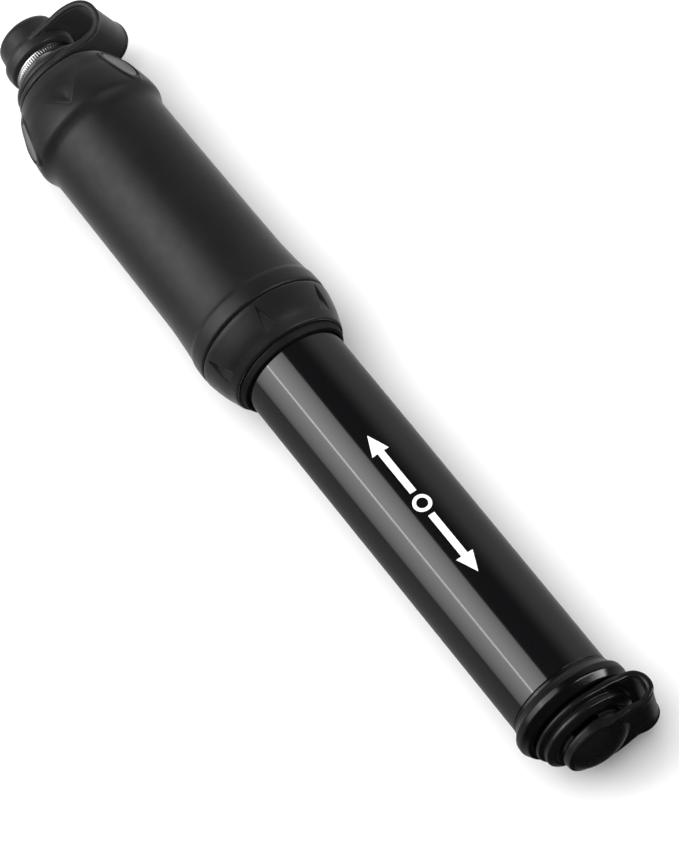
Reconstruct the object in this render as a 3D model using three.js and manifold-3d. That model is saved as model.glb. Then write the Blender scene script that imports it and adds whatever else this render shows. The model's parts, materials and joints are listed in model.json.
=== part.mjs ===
// Telescoping mini bicycle pump, lying on its side.
// A sleeve handle slides over the barrel and carries a hollow shaft with the piston on its end.
// The hose is stored inside that shaft; its knurled chuck shows at the handle end under a rubber cap.
// The air port at the other end has a rubber cap of the same kind.
// Units are millimetres. +X runs along the pump from the handle end to the port end, +Z is up.
// X = 0 is the middle of the pump until the last lines, which move the origin to the middle of its base.
import * as THREE from 'three';
import { mergeVertices } from 'three/addons/utils/BufferGeometryUtils.js';
import Module from 'manifold-3d';

const wasm = await Module();
wasm.setup();

// ---- Driving dimensions ----
const SEGMENTS = 36;               // sides of the large outer pieces
const MEDIUM_SEGMENTS = 24;        // sides of the caps and of the large inner pieces
const SMALL_SEGMENTS = 16;         // sides of the small inner pieces
const GAP = 0.3;                   // space left between pieces that touch
const FIT = 0.15;                  // space around pieces nested on the same axis
const SLIP = 0.1;                  // space around pieces that slide or turn on each other

const END_X = 100;                 // half of the overall length
const BARREL_R = 10.75;            // 21.5 mm barrel
const BARREL_BORE_R = 9.6;
const BARREL_OPEN_X = -71.65;      // end of the barrel inside the handle
const BARREL_PORT_X = 85.6;        // end of the barrel at the port housing

const HANDLE_TOP_X = -82.9;        // edge of the grip at the hose end
const SHOULDER_X = -70.6;          // ridge of the grip's shoulder
const SHOULDER_R = 14.47;
const BODY_R = 13.35;              // grip just behind the shoulder
const FLARE_R = 14.75;             // widest place, where the grip meets the collar
const SEAM_X = -11.7;              // seam between grip and collar
const CORE_R = 12.3;
const CORE_BORE_R = 11.6;
const CORE_END_X = -9;

const SHAFT_R = 6.2;
const SHAFT_BORE_R = 5.2;
const SHAFT_END_X = 70;
const PISTON_R = 9.4;

const HOSE_R = 3.3;
const HOSE_BORE_R = 1.7;
const FERRULE_R = 4.5;
const CHUCK_R = 7.0;
const CHUCK_STEM_R = 4.6;
const CHUCK_BORE_R = 3.1;          // takes a 6 mm valve stem

const INLAY_COUNT = 3;
const INLAY_FIRST_DEG = 59.5;      // angle of the first inlay, from +Z towards +Y
const INLAY_STEP_DEG = 117;
const INLAY_X = -75.9;
const INLAY_LENGTH = 9.4;
const INLAY_WIDTH = 4.6;
const INLAY_DEPTH = 0.9;           // of its pocket
const INLAY_SINK = 0.2;            // its face lies this far below the grip's surface

const FACET_APEX_X = -71.4;        // point of each thumb facet, just short of the shoulder's ridge
const FACET_FIRST_DEG = -3.5;
const FACET_WIDTH = 14;            // at the grip's top edge
const FACET_DEPTH = 0.5;

const NOTCH_COUNT = 6;
const NOTCH_FIRST_DEG = 7;
const NOTCH_LENGTH = 5.4;
const NOTCH_WIDTH = 2.9;
const NOTCH_DEPTH = 1.2;           // at its point
const NOTCH_RUNOUT = 0.3;          // rise of its floor towards the mouth
const NOTCH_OFFSET = 1.4;          // from the seam to its point

const STRAP_THICKNESS = 1.2;
const HOSE_STRAP_WIDTH = 14;
const PORT_STRAP_WIDTH = 13;
const HOSE_LOOP_DEG = 81;          // direction of the hose cap's loop, from +Z towards +Y
const PORT_LOOP_DEG = 98;

// ---- Helpers ----

// A closed solid from any three.js geometry: shared vertices merged, collapsed triangles dropped.
function closed(geometry) {
  const bare = geometry.index ? geometry.toNonIndexed() : geometry.clone();
  for (const name of ['normal', 'uv']) bare.deleteAttribute(name);
  const merged = mergeVertices(bare, 1e-4);
  const index = merged.index.array;
  const kept = [];
  for (let i = 0; i < index.length; i += 3) {
    const [a, b, c] = [index[i], index[i + 1], index[i + 2]];
    if (a !== b && b !== c && c !== a) kept.push(a, b, c);
  }
  merged.setIndex(kept);
  return merged;
}

function toManifold(geometry) {
  const solid = closed(geometry);
  return new wasm.Manifold(new wasm.Mesh({
    numProp: 3,
    vertProperties: new Float32Array(solid.attributes.position.array),
    triVerts: new Uint32Array(solid.index.array),
  }));
}

function fromManifold(manifold) {
  const mesh = manifold.getMesh();
  const geometry = new THREE.BufferGeometry();
  geometry.setAttribute('position', new THREE.BufferAttribute(mesh.vertProperties, 3));
  geometry.setIndex(new THREE.BufferAttribute(mesh.triVerts, 1));
  return geometry;
}

// Revolves an outline of [x, radius] points about the X axis.
// The outline closes on itself unless it starts and ends on the axis.
function turned(outline, segments = SEGMENTS) {
  const points = outline.map(([x, radius]) => new THREE.Vector2(radius, x));
  const onAxis = outline[0][1] === 0 && outline.at(-1)[1] === 0;
  if (!onAxis) points.push(points[0].clone());
  if (THREE.ShapeUtils.area(points) < 0) points.reverse();
  const geometry = new THREE.LatheGeometry(points, segments);
  return closed(geometry.rotateZ(-Math.PI / 2));
}

// Points [x, radius] along a smooth curve through a few given ones.
function smooth(points, steps) {
  const curve = new THREE.SplineCurve(points.map(([x, radius]) => new THREE.Vector2(x, radius)));
  return curve.getPoints(steps).map((point) => [point.x, point.y]);
}

// A plain ring between two radii.
function sleeve(fromX, toX, innerR, outerR, segments = SEGMENTS) {
  return turned([[fromX, innerR], [fromX, outerR], [toX, outerR], [toX, innerR]], segments);
}

// A rubber ring of round section, seated in a groove.
function sealRing(middleX, innerR, outerR, segments) {
  const section = (outerR - innerR) / 2;
  const middleR = (outerR + innerR) / 2;
  const sides = 6;
  const outline = Array.from({ length: sides }, (_, i) => {
    const angle = (i + 0.5) * 2 * Math.PI / sides;
    return [middleX + section * Math.cos(angle), middleR + section * Math.sin(angle)];
  });
  return turned(outline, segments);
}

// Turns a geometry built pointing up (+Z) about the pump's axis, towards +Y for a positive angle.
function aimed(geometry, degrees) {
  return geometry.rotateX(-THREE.MathUtils.degToRad(degrees));
}

const finishes = {
  rubber: { color: 0x2b2b2c, roughness: 0.75, metalness: 0 },
  gloss_rubber: { color: 0x121213, roughness: 0.3, metalness: 0 },
  inlay: { color: 0x77787a, roughness: 0.6, metalness: 0 },
  anodised: { color: 0x0c0c0d, roughness: 0.18, metalness: 0.6 },
  nylon: { color: 0x1b1b1c, roughness: 0.5, metalness: 0 },
  acetal: { color: 0xe4e2da, roughness: 0.45, metalness: 0 },
  seal: { color: 0x1a1a1a, roughness: 0.6, metalness: 0 },
  steel: { color: 0xb9bcc0, roughness: 0.3, metalness: 1 },
  chrome: { color: 0xe8eaec, roughness: 0.12, metalness: 1 },
  brass: { color: 0xc8a24c, roughness: 0.35, metalness: 1 },
};

function piece(name, finish, geometry) {
  const mesh = new THREE.Mesh(geometry, new THREE.MeshStandardMaterial(finishes[finish]));
  mesh.name = name;
  return mesh;
}

// ---- Handle: rubber grip, inner sleeve, head and inlays ----

const gripOuter = [
  ...smooth([[HANDLE_TOP_X, 10.9], [-80.3, 12.25], [-76.6, 13.6], [-72.9, 14.25], [SHOULDER_X, SHOULDER_R],
    [-67.6, 13.9], [-65, BODY_R]], 10),
  ...smooth([[-25, BODY_R + 0.35], [-20, 14.05], [-15.5, 14.6], [SEAM_X - 0.15, FLARE_R]], 5),
];
const HEAD_FACE_X = -75.3;         // step inside the grip where the inner sleeve ends
const HEAD_END_X = -73.65;
const HEAD_TOP_X = HANDLE_TOP_X - 0.35;
const HEAD_R = 10.55;
const HEAD_TOP_R = 9.6;
const SHAFT_SEAT_X = -82.15;       // shoulder in the head that the shaft's end rests on
const BLOCK_HEIGHT = 20;           // cutting blocks reach from the axis to beyond the grip

function radiusAt(outline, x) {
  const next = outline.findIndex((point) => point[0] >= x);
  const [x0, r0] = outline[next - 1];
  const [x1, r1] = outline[next];
  return r0 + (r1 - r0) * (x - x0) / (x1 - x0);
}

// An oval block, standing on the axis and pointing in the given direction.
function ovalBlock(length, width, degrees) {
  const oval = new THREE.Shape().absellipse(INLAY_X, 0, length / 2, width / 2, 0, 2 * Math.PI);
  const block = new THREE.ExtrudeGeometry(oval, { depth: BLOCK_HEIGHT, bevelEnabled: false,
    curveSegments: 9 });
  return toManifold(aimed(block, degrees));
}

// The shoulder's surface lowered by a depth, as a solid to cut with.
function shoulderLowered(depth) {
  const outline = gripOuter.filter(([x]) => x < -60).map(([x, radius]) => [x, radius - depth]);
  return toManifold(turned([[outline[0][0], 0], ...outline, [outline.at(-1)[0], 0]]));
}

function inlayAngle(i) {
  return INLAY_FIRST_DEG + i * INLAY_STEP_DEG;
}

// A pointed block over a thumb facet, widest beyond the grip's top edge.
function facetBlock(degrees) {
  const overrun = 1;
  const halfWidth = FACET_WIDTH / 2 * (1 + overrun / (FACET_APEX_X - HANDLE_TOP_X));
  const flat = new THREE.Shape([
    new THREE.Vector2(FACET_APEX_X, 0),
    new THREE.Vector2(HANDLE_TOP_X - overrun, halfWidth),
    new THREE.Vector2(HANDLE_TOP_X - overrun, -halfWidth),
  ]);
  const block = new THREE.ExtrudeGeometry(flat, { depth: BLOCK_HEIGHT, bevelEnabled: false });
  return toManifold(aimed(block, degrees));
}

function gripGeometry() {
  let grip = toManifold(turned([
    ...gripOuter,
    [SEAM_X - 0.15, CORE_R + FIT],
    [HEAD_FACE_X, CORE_R + FIT],
    [HEAD_FACE_X, HEAD_R + FIT],
    [HANDLE_TOP_X, HEAD_TOP_R + GAP],
  ]));
  const floor = shoulderLowered(INLAY_DEPTH);
  const facetFloor = shoulderLowered(FACET_DEPTH);
  for (let i = 0; i < INLAY_COUNT; i++) {
    const block = ovalBlock(INLAY_LENGTH + 2 * GAP, INLAY_WIDTH + 2 * GAP, inlayAngle(i));
    grip = grip.subtract(block.subtract(floor));
    grip = grip.subtract(facetBlock(FACET_FIRST_DEG + i * 360 / INLAY_COUNT).subtract(facetFloor));
  }
  return fromManifold(grip);
}

function inlayGeometry(i) {
  const block = ovalBlock(INLAY_LENGTH, INLAY_WIDTH, inlayAngle(i));
  const shell = shoulderLowered(INLAY_SINK).subtract(shoulderLowered(INLAY_DEPTH - GAP));
  return fromManifold(block.intersect(shell));
}

const NECK_R = 8.0;                // neck at each end that a cap's ring sits on
const HOSE_NECK_X = -87.15;

function headGeometry() {
  return turned([
    [HOSE_NECK_X, CHUCK_STEM_R + SLIP], [HOSE_NECK_X, NECK_R], [HEAD_TOP_X, NECK_R], [HEAD_TOP_X, HEAD_TOP_R],
    [HEAD_FACE_X + FIT, HEAD_R - SLIP], [HEAD_FACE_X + FIT, CORE_BORE_R - FIT],
    [HEAD_END_X, CORE_BORE_R - FIT],
    [HEAD_END_X, SHAFT_R + SLIP], [SHAFT_SEAT_X, SHAFT_R + SLIP], [SHAFT_SEAT_X, CHUCK_STEM_R + SLIP],
  ], MEDIUM_SEGMENTS);
}

const handleParts = [
  piece('handle_grip', 'rubber', gripGeometry()),
  piece('handle_core', 'anodised', sleeve(HEAD_FACE_X + 2 * FIT, CORE_END_X, CORE_BORE_R, CORE_R)),
  piece('handle_head', 'nylon', headGeometry()),
  piece('shaft_tube', 'steel', sleeve(SHAFT_SEAT_X + FIT, SHAFT_END_X, SHAFT_BORE_R, SHAFT_R,
    MEDIUM_SEGMENTS)),
];
for (let i = 0; i < INLAY_COUNT; i++) {
  handleParts.push(piece(`grip_inlay_${i + 1}`, 'inlay', inlayGeometry(i)));
}

// ---- Collar: screws on the inner sleeve's end and holds the wiper and the bush ----

const MOUTH_X = -3.4;
const COLLAR_STEP_X = -8.75;
const WIPER_POCKET_X = -7.2;
const WIPER_POCKET_R = 12.05;
const collarOuter = [[SEAM_X + 0.15, 14.6], [-8, 14.1], [-6.3, 13.7], [-4.5, 13.0], [MOUTH_X, 12.5]];

// A wedge that is deepest at its point, next to the seam, and runs out at the other end.
function notchWedge(degrees) {
  const flat = new THREE.Shape([
    new THREE.Vector2(0, 0),
    new THREE.Vector2(NOTCH_LENGTH, -NOTCH_WIDTH / 2),
    new THREE.Vector2(NOTCH_LENGTH, NOTCH_WIDTH / 2),
  ]);
  const wedge = new THREE.ExtrudeGeometry(flat, { depth: 4, bevelEnabled: false });
  const pointX = SEAM_X + NOTCH_OFFSET;
  wedge.rotateY(-Math.atan2(NOTCH_RUNOUT, NOTCH_LENGTH));
  wedge.translate(pointX, 0, radiusAt(collarOuter, pointX) - NOTCH_DEPTH);
  return toManifold(aimed(wedge, degrees));
}

function collarGeometry() {
  let collar = toManifold(turned([
    ...collarOuter,
    [MOUTH_X, WIPER_POCKET_R], [WIPER_POCKET_X, WIPER_POCKET_R], [WIPER_POCKET_X, 11], [COLLAR_STEP_X, 11],
    [COLLAR_STEP_X, CORE_R + FIT], [SEAM_X + 0.15, CORE_R + FIT],
  ]));
  for (let i = 0; i < NOTCH_COUNT; i++) {
    collar = collar.subtract(notchWedge(NOTCH_FIRST_DEG + i * 360 / NOTCH_COUNT));
  }
  return fromManifold(collar);
}

const RUNNING_R = BARREL_R + SLIP; // bore that runs on the barrel
const BUSH_STOP_X = -12;

function wiperGeometry() {
  const [seatX, lipX] = [WIPER_POCKET_X + FIT, -1.1];
  const outerR = WIPER_POCKET_R - FIT;
  return turned([[seatX, RUNNING_R + FIT], [seatX, outerR], [lipX - 0.5, outerR], [lipX, outerR - 0.4],
    [lipX, RUNNING_R]]);
}

const collarParts = [
  piece('collar', 'rubber', collarGeometry()),
  piece('wiper_ring', 'seal', wiperGeometry()),
  piece('collar_bush', 'acetal', sleeve(BUSH_STOP_X, CORE_END_X, RUNNING_R, CORE_BORE_R - FIT)),
];

// ---- Piston on the end of the shaft ----

const PLUG_X = 63;                 // end of the piston's plug inside the shaft
const PISTON_BACK_X = SHAFT_END_X + FIT;
const PISTON_FACE_X = 78.4;
const GROOVE_X = [73, 75.6];
const GROOVE_R = 7.6;

function pistonGeometry() {
  return turned([
    [PLUG_X, 0], [PLUG_X, SHAFT_BORE_R - FIT], [PISTON_BACK_X, SHAFT_BORE_R - FIT], [PISTON_BACK_X, PISTON_R],
    [GROOVE_X[0], PISTON_R], [GROOVE_X[0], GROOVE_R], [GROOVE_X[1], GROOVE_R], [GROOVE_X[1], PISTON_R],
    [PISTON_FACE_X - 0.4, PISTON_R], [PISTON_FACE_X, PISTON_R - 0.4], [PISTON_FACE_X, 0],
  ], MEDIUM_SEGMENTS);
}

// A lip seal with a crowned rim, in the piston's groove.
function pistonSealGeometry() {
  const [backX, frontX] = [GROOVE_X[0] + FIT, GROOVE_X[1] - FIT];
  const crownR = BARREL_BORE_R - SLIP;
  return turned([[backX, GROOVE_R + FIT], [backX, 9.3], [backX + 0.75, crownR], [frontX - 0.75, crownR],
    [frontX, 9.3], [frontX, GROOVE_R + FIT]], MEDIUM_SEGMENTS);
}

const pistonParts = [
  piece('piston_head', 'nylon', pistonGeometry()),
  piece('piston_seal', 'seal', pistonSealGeometry()),
];

// ---- Barrel with the bush that stops it inside the handle ----

function barrelBushGeometry() {
  const [back, front, shelf] = [-73.35, -69, BARREL_OPEN_X - FIT];
  return turned([
    [back, SHAFT_R + SLIP], [back, CORE_BORE_R - FIT], [front, CORE_BORE_R - FIT], [front, BARREL_R + FIT],
    [shelf, BARREL_R + FIT], [shelf, BARREL_BORE_R - FIT], [front, BARREL_BORE_R - FIT],
    [front, SHAFT_R + SLIP],
  ], MEDIUM_SEGMENTS);
}

const barrelParts = [
  piece('barrel_tube', 'anodised', sleeve(BARREL_OPEN_X, BARREL_PORT_X, BARREL_BORE_R, BARREL_R)),
  piece('barrel_bush', 'acetal', barrelBushGeometry()),
];

// ---- Port housing with the check valve ----

const FLANGE_BACK_X = 91.3;
const PORT_NECK_X = 95.3;
const PORT_NECK_R = 7.6;
const INSERT_R = 4.6;
const INSERT_BORE_R = 3.2;         // takes the hose's threaded end
const SPIGOT_X = 79.2;             // end of the housing inside the barrel
const SPIGOT_R = BARREL_BORE_R - FIT;
const SEAL_GROOVE_X = [82, 83.4];
const SEAL_GROOVE_R = 8.2;
const CHAMBER_X = [80.6, 88.1];    // valve chamber between the inlet and the insert
const CHAMBER_R = 2.9;
const INLET_R = 1.2;

function housingGeometry() {
  return turned([
    [SPIGOT_X, INLET_R], [SPIGOT_X, SPIGOT_R], [SEAL_GROOVE_X[0], SPIGOT_R],
    [SEAL_GROOVE_X[0], SEAL_GROOVE_R],
    [SEAL_GROOVE_X[1], SEAL_GROOVE_R], [SEAL_GROOVE_X[1], SPIGOT_R], [BARREL_PORT_X + FIT, SPIGOT_R],
    ...smooth([[BARREL_PORT_X + FIT, 10.8], [87.4, 11.6], [88.8, 12.2], [90.2, 12.1],
      [FLANGE_BACK_X, 11.5]], 6),
    [FLANGE_BACK_X, PORT_NECK_R], [PORT_NECK_X, PORT_NECK_R], [PORT_NECK_X, INSERT_R + FIT],
    [CHAMBER_X[1], INSERT_R + FIT], [CHAMBER_X[1], CHAMBER_R], [CHAMBER_X[0], CHAMBER_R],
    [CHAMBER_X[0], INLET_R],
  ]);
}

// The threaded socket in the port, with a small hole through its floor.
function insertGeometry() {
  const [backX, floorX] = [CHAMBER_X[1] + FIT, CHAMBER_X[1] + 1.1];
  return turned([[backX, 1.6], [backX, INSERT_R], [PORT_NECK_X, INSERT_R], [PORT_NECK_X, INSERT_BORE_R],
    [floorX, INSERT_BORE_R], [floorX, 1.6]], SMALL_SEGMENTS);
}

// A flat disc that closes the inlet, with a stem that the spring sits round.
function poppetGeometry() {
  const [faceX, discX, stemX] = [CHAMBER_X[0] + GAP, 82.1, 84.6];
  return turned([[faceX, 0], [faceX, 2.3], [discX, 2.3], [discX, 1.1], [stemX, 1.1],
    [stemX, 0]], SMALL_SEGMENTS);
}

function springGeometry(fromX, toX, coilR, wireR, turns) {
  const stepsPerTurn = 9;
  const points = Array.from({ length: turns * stepsPerTurn + 1 }, (_, i) => {
    const angle = 2 * Math.PI * i / stepsPerTurn;
    const x = fromX + (toX - fromX) * i / (turns * stepsPerTurn);
    return new THREE.Vector3(x, coilR * Math.cos(angle), coilR * Math.sin(angle));
  });
  const section = new THREE.Shape().absarc(0, 0, wireR, 0, 2 * Math.PI);
  const path = new THREE.CatmullRomCurve3(points);
  return closed(new THREE.ExtrudeGeometry(section, {
    steps: turns * stepsPerTurn, curveSegments: 3, extrudePath: path,
  }));
}

const portParts = [
  piece('port_housing', 'gloss_rubber', housingGeometry()),
  piece('port_seal', 'seal', sealRing(82.7, 8.3, 9.5, MEDIUM_SEGMENTS)),
  piece('port_insert', 'brass', insertGeometry()),
];
const valveParts = [piece('valve_poppet', 'acetal', poppetGeometry())];
const springParts = [piece('valve_spring', 'steel', springGeometry(82.7, 87.6, 1.95, 0.3, 4))];

// ---- Caps: a ring on the neck, a looped strap and the cap, at each end ----

// A strip of even thickness along a curve in the plane of the X axis and the loop's direction.
function strapGeometry(route, width, degrees) {
  const steps = 16;
  const curve = new THREE.SplineCurve(route.map(([x, radius]) => new THREE.Vector2(x, radius)));
  const side = (sign) => Array.from({ length: steps + 1 }, (_, i) => {
    const tangent = curve.getTangent(i / steps);
    return curve.getPoint(i / steps).add(
      new THREE.Vector2(-tangent.y, tangent.x).multiplyScalar(sign * STRAP_THICKNESS / 2));
  });
  const outline = new THREE.Shape([...side(1), ...side(-1).reverse()]);
  const strip = new THREE.ExtrudeGeometry(outline, { depth: width, bevelEnabled: false });
  strip.translate(0, 0, -width / 2);
  strip.rotateX(Math.PI / 2);
  return closed(aimed(strip, degrees));
}

const hoseCapParts = [piece('hose_cap', 'gloss_rubber', turned([
  [-END_X, 0], [-END_X, 4.6],
  ...smooth([[-99.6, 5.5], [-98.4, 6.5], [-94.2, 6.7]], 5),
  [-93.9, 7.5], [-93.4, 7.7], [-91.6, 7.7], [-90.75, 7.0], [-90.75, 5.4], [-93.6, 5.2], [-93.6, 0],
], MEDIUM_SEGMENTS))];
const hoseRingParts = [piece('hose_cap_ring', 'gloss_rubber', turned([
  [HOSE_NECK_X, NECK_R + FIT], [HOSE_NECK_X, 8.9], [-86.2, 9.4], [-85.5, 9.4], [-85.1, 9.0], [-84.8, 9.9],
  [-84.3, 10.2], [-83.7, 10.1], [-83.45, 9.6], [-83.45, NECK_R + FIT],
], MEDIUM_SEGMENTS))];
const hoseStrapParts = [piece('hose_cap_strap', 'gloss_rubber', strapGeometry([
  [-84.6, 10.9], [-84.8, 12.6], [-86.0, 14.6], [-88.3, 15.6], [-90.6, 15.1], [-92.2, 13.4], [-93.0, 11],
  [-93.2, 8.3],
], HOSE_STRAP_WIDTH, HOSE_LOOP_DEG))];

const portCapParts = [piece('port_cap', 'gloss_rubber', turned([
  [93.6, 0], [93.6, 2.2], [95.9, 2.8], [95.9, 6.9], [96.4, 7.3], [97.9, 7.3],
  ...smooth([[98.3, 6.7], [99.2, 5.9], [99.8, 5.1]], 3),
  [END_X, 4.6], [END_X, 0],
], MEDIUM_SEGMENTS))];
const portRingParts = [piece('port_cap_ring', 'gloss_rubber', turned([
  [FLANGE_BACK_X + 0.3, PORT_NECK_R + FIT], [FLANGE_BACK_X + 0.3, 10.1], [92.0, 10.4], [92.6, 10.2],
  [93.2, 9.1],
  [93.8, 9.6], [94.4, 9.7], [95, 9.3], [95.5, 8.4], [95.5, PORT_NECK_R + FIT],
], MEDIUM_SEGMENTS))];
const portStrapParts = [piece('port_cap_strap', 'gloss_rubber', strapGeometry([
  [92.1, 10.9], [92.8, 12.3], [94.2, 13.2], [95.9, 13.3], [97.5, 12.6], [98.5, 11], [98.7, 9.3], [98.4, 7.9],
], PORT_STRAP_WIDTH, PORT_LOOP_DEG))];

// ---- Hose stored in the shaft, with its chuck and its threaded end ----

const HOSE_X = [-80.6, 52];        // ends of the stored hose
const FERRULE_LENGTH = 10;
const CHUCK_X = [-92.9, -80.9];
const GASKET_SEAT_X = [-84.4, -82.4];
const NUT_X = -90.45;
const NUT_LENGTH = 3.05;

// The knurled outline of the chuck's nut: a ring of blunt teeth.
function knurledNutGeometry() {
  const teeth = 40;
  const outline = Array.from({ length: 2 * teeth }, (_, i) => {
    const radius = i % 2 ? CHUCK_R - 0.35 : CHUCK_R;
    const angle = Math.PI * i / teeth;
    return new THREE.Vector2(radius * Math.cos(angle), radius * Math.sin(angle));
  });
  const shape = new THREE.Shape(outline);
  shape.holes.push(new THREE.Path().absarc(0, 0, CHUCK_STEM_R + 0.25, 0, 2 * Math.PI, true));
  const options = { depth: NUT_LENGTH, bevelEnabled: false, curveSegments: SMALL_SEGMENTS };
  const nut = new THREE.ExtrudeGeometry(shape, options);
  return closed(nut.rotateY(Math.PI / 2).translate(NUT_X, 0, 0));
}

function chuckGeometry() {
  const seatR = 3.7;
  return turned([[CHUCK_X[0], CHUCK_BORE_R], [CHUCK_X[0], CHUCK_STEM_R - 0.4],
    [CHUCK_X[0] + 0.4, CHUCK_STEM_R],
    [CHUCK_X[1], CHUCK_STEM_R], [CHUCK_X[1], 1.2], [GASKET_SEAT_X[1], 1.2], [GASKET_SEAT_X[1], seatR],
    [GASKET_SEAT_X[0], seatR], [GASKET_SEAT_X[0], CHUCK_BORE_R]], SMALL_SEGMENTS);
}

// The threaded end, with a groove behind its thread for the seal.
function fittingGeometry() {
  const [backX, flangeX, threadX, endX] = [HOSE_X[1] + GAP, 55, 56.4, 61.9];
  return turned([[backX, 1.2], [backX, FERRULE_R], [flangeX, FERRULE_R], [flangeX, 2.4], [threadX, 2.4],
    [threadX, 3.0], [endX - 0.3, 3.0], [endX, 2.7], [endX, 1.2]], SMALL_SEGMENTS);
}

const nutParts = [piece('chuck_nut', 'chrome', knurledNutGeometry())];
const hoseParts = [
  piece('chuck_body', 'chrome', chuckGeometry()),
  piece('chuck_gasket', 'seal', sleeve(GASKET_SEAT_X[0] + FIT, GASKET_SEAT_X[1] - FIT, 1.5, 3.5,
    SMALL_SEGMENTS)),
  piece('hose_ferrule_chuck', 'chrome', sleeve(HOSE_X[0], HOSE_X[0] + FERRULE_LENGTH, HOSE_R + FIT, FERRULE_R,
    SMALL_SEGMENTS)),
  piece('hose_tube', 'rubber', sleeve(HOSE_X[0], HOSE_X[1], HOSE_BORE_R, HOSE_R, SMALL_SEGMENTS)),
  piece('hose_ferrule_thread', 'chrome', sleeve(HOSE_X[1] - FERRULE_LENGTH, HOSE_X[1], HOSE_R + FIT,
    FERRULE_R,
    SMALL_SEGMENTS)),
  piece('hose_fitting', 'brass', fittingGeometry()),
  piece('fitting_seal', 'seal', sealRing(55.7, 2.55, 3.7, SMALL_SEGMENTS)),
];

// ---- Assembly ----

const pump = new THREE.Group();
pump.add(
  ...barrelParts, ...portParts, ...valveParts, ...springParts,
  ...portRingParts, ...portStrapParts, ...portCapParts,
  ...pistonParts, ...handleParts, ...collarParts,
  ...hoseParts, ...nutParts,
  ...hoseRingParts, ...hoseStrapParts, ...hoseCapParts,
);

// The origin is the middle of the base of the pump's box, so it lies on the plane Z = 0.
const extent = new THREE.Box3().setFromObject(pump);
const middle = extent.getCenter(new THREE.Vector3());
pump.position.set(-middle.x, -middle.y, -extent.min.z);

const group = new THREE.Group();
group.add(pump);

export default group;
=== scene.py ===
"""Looks for the mini pump: camera, light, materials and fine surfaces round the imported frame."""
import json
import math

import bmesh
import bpy
from mathutils import Matrix, Vector


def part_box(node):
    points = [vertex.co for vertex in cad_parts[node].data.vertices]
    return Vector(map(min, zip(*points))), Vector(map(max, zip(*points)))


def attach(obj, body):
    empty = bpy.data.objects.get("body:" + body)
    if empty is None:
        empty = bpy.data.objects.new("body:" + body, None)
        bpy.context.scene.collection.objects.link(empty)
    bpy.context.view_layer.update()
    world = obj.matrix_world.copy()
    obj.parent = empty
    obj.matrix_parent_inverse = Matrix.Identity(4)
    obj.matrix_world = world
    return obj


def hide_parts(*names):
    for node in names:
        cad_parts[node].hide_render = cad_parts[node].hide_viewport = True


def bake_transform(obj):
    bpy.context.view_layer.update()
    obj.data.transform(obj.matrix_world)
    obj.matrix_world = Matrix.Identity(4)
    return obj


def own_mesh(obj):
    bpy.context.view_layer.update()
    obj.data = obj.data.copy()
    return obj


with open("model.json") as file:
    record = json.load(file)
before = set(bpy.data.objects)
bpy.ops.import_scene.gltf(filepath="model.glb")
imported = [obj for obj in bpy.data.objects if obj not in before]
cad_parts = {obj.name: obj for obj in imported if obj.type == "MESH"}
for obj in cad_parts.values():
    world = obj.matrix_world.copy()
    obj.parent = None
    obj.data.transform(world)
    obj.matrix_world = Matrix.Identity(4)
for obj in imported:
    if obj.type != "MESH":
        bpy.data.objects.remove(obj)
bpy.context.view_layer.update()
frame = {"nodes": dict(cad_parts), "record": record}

MM = 0.001
TURN = 2 * math.pi

barrel_low, barrel_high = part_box("barrel_tube")
AXIS_Y = (barrel_low.y + barrel_high.y) / 2
AXIS_Z = (barrel_low.z + barrel_high.z) / 2


# ---------------------------------------------------------------- camera, floor and lights

VIEW_TILT = math.radians(25.5)      # the camera leans this far from square to the pump, to its port end
VIEW_ROLL = math.radians(50.75)     # the pump's angle below the horizontal in the picture
CAMERA_DISTANCE = 0.858
CAMERA_LENS = 188.5                 # mm, for a sensor 36 mm wide
AIM_X = 0.0136


def add_camera():
    """A long lens from above the pump, with the handle end at the picture's top left."""
    towards_camera = Vector((math.sin(VIEW_TILT), 0, math.cos(VIEW_TILT)))
    along = Vector((math.cos(VIEW_TILT), 0, -math.sin(VIEW_TILT)))
    across = Vector((0, 1, 0))
    right = along * math.cos(VIEW_ROLL) + across * math.sin(VIEW_ROLL)
    up = across * math.cos(VIEW_ROLL) - along * math.sin(VIEW_ROLL)
    data = bpy.data.cameras.new("camera")
    data.sensor_width = 36
    data.lens = CAMERA_LENS
    data.clip_start = 0.01
    data.clip_end = 20
    camera = bpy.data.objects.new("camera", data)
    bpy.context.scene.collection.objects.link(camera)
    place = Vector((AIM_X, AXIS_Y, AXIS_Z)) + towards_camera * CAMERA_DISTANCE
    turn = Matrix((right, up, towards_camera)).transposed()
    camera.matrix_world = Matrix.Translation(place) @ turn.to_4x4()
    bpy.context.scene.camera = camera


def add_area_light(name, angle, tilt, distance, length, width, power, spread=180, swivel=0):
    """A rectangle that faces the middle of the pump, with its length along the pump.

    angle is from straight up towards +Y, tilt is from square to the pump towards -X, and swivel turns the
    light about its own length. All are in degrees.
    """
    data = bpy.data.lights.new(name, "AREA")
    data.shape = "RECTANGLE"
    data.size = length
    data.size_y = width
    data.energy = power
    data.spread = math.radians(spread)
    light = bpy.data.objects.new(name, data)
    bpy.context.scene.collection.objects.link(light)
    turn = Matrix.Rotation(-math.radians(angle), 4, "X") @ Matrix.Rotation(-math.radians(tilt), 4, "Y")
    place = Matrix.Translation((0, AXIS_Y, AXIS_Z)) @ turn @ Matrix.Translation((0, 0, distance))
    light.matrix_world = place @ Matrix.Rotation(-math.radians(swivel), 4, "X")
    return light


# each side's glow: its side in Y, the slope where it starts, the slope where it is full, and its strength
SIDE_GLOWS = ((1, 0.36, 1.04, 0.33), (-1, 0.5, 1.15, 0.25))
DARK_STRENGTH = 0.012


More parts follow.
